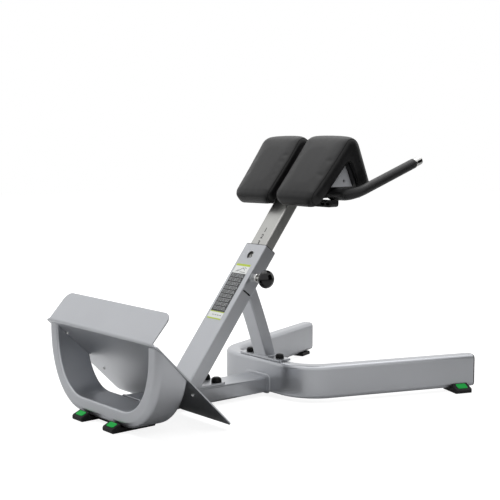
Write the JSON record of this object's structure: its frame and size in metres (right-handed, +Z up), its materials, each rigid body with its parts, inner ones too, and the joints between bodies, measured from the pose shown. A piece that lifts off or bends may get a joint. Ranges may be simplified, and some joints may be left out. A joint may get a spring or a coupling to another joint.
{
  "type": "hyperextension bench",
  "caption": "Angled back extension bench with twin folded hip pads on a height-adjustable sliding post, side grips and a folded foot plate.",
  "frame": {"origin": "on the floor, at the middle of the bounding box", "axes": "+X towards the splayed rear legs and the grips, -X towards the foot plate, +Y to the left as seen facing +X, +Z up"},
  "size_m": [1.2347, 0.8916, 0.8413],
  "materials": {
    "silver_paint": "silver grey powder coat, satin",
    "black_paint": "black powder coat, satin",
    "plated_steel": "plated, polished",
    "bright_steel": "plated, polished",
    "foot_rubber": "matt",
    "mat_rubber": "ribbed, matt",
    "grip_rubber": "soft sheen",
    "black_plastic": "satin",
    "knob_plastic": "glossy",
    "green_insert": "satin",
    "black_vinyl": "vinyl upholstery, fine grain"
  },
  "bodies": {
    "frame": {"foot_mat": "mat_rubber", "foot_plate": "silver_paint", "front_foot_insert_left": "green_insert", "front_foot_insert_right": "green_insert", "front_foot_left": "foot_rubber", "front_foot_right": "foot_rubber", "front_hoop": "silver_paint", "hoop_rubber_strip": "foot_rubber", "leg_cap_left": "black_plastic", "leg_cap_right": "black_plastic", "main_rail": "silver_paint", "pin_barrel": "bright_steel", "pin_spring": "bright_steel", "rail_flange": "silver_paint", "rear_foot_insert_left": "green_insert", "rear_foot_insert_right": "green_insert", "rear_foot_left": "foot_rubber", "rear_foot_right": "foot_rubber", "rear_legs": "silver_paint", "rear_strut": "silver_paint", "sleeve_base_plate": "silver_paint", "sleeve_bolt_cap_front_left": "black_plastic", "sleeve_bolt_cap_front_right": "black_plastic", "sleeve_bolt_cap_rear_left": "black_plastic", "sleeve_bolt_cap_rear_right": "black_plastic", "sleeve_bolt_front_left": "bright_steel", "sleeve_bolt_front_right": "bright_steel", "sleeve_bolt_rear_left": "bright_steel", "sleeve_bolt_rear_right": "bright_steel", "sleeve_bush": "black_plastic", "strut_base_plate": "silver_paint", "strut_bolt_cap_left": "black_plastic", "strut_bolt_cap_right": "black_plastic", "strut_bolt_left": "bright_steel", "strut_bolt_right": "bright_steel", "upright_sleeve": "silver_paint"},
    "post": {"cross_member": "black_paint", "grip_cap_left": "bright_steel", "grip_cap_right": "bright_steel", "grip_left": "grip_rubber", "grip_right": "grip_rubber", "gusset_left": "silver_paint", "gusset_right": "silver_paint", "handlebar": "black_paint", "head_bracket_left": "black_paint", "head_bracket_right": "black_paint", "hip_pad_left": "black_vinyl", "hip_pad_right": "black_vinyl", "inner_post": "plated_steel", "pad_board_left": "black_paint", "pad_board_right": "black_paint", "post_glide": "black_plastic", "post_top_cap": "black_plastic"},
    "pin": {"pin_knob": "knob_plastic", "pull_pin": "bright_steel"}
  },
  "joints": [
    {"name": "post_slide", "type": "slide", "parent": "frame", "child": "post", "axis": [0.6101, 0, 0.7923], "range_m": [-0.1, 0.125]},
    {"name": "pin_slide", "type": "slide", "parent": "frame", "child": "pin", "axis": [0, 1, 0], "range_m": [0, 0.011]}
  ]
}
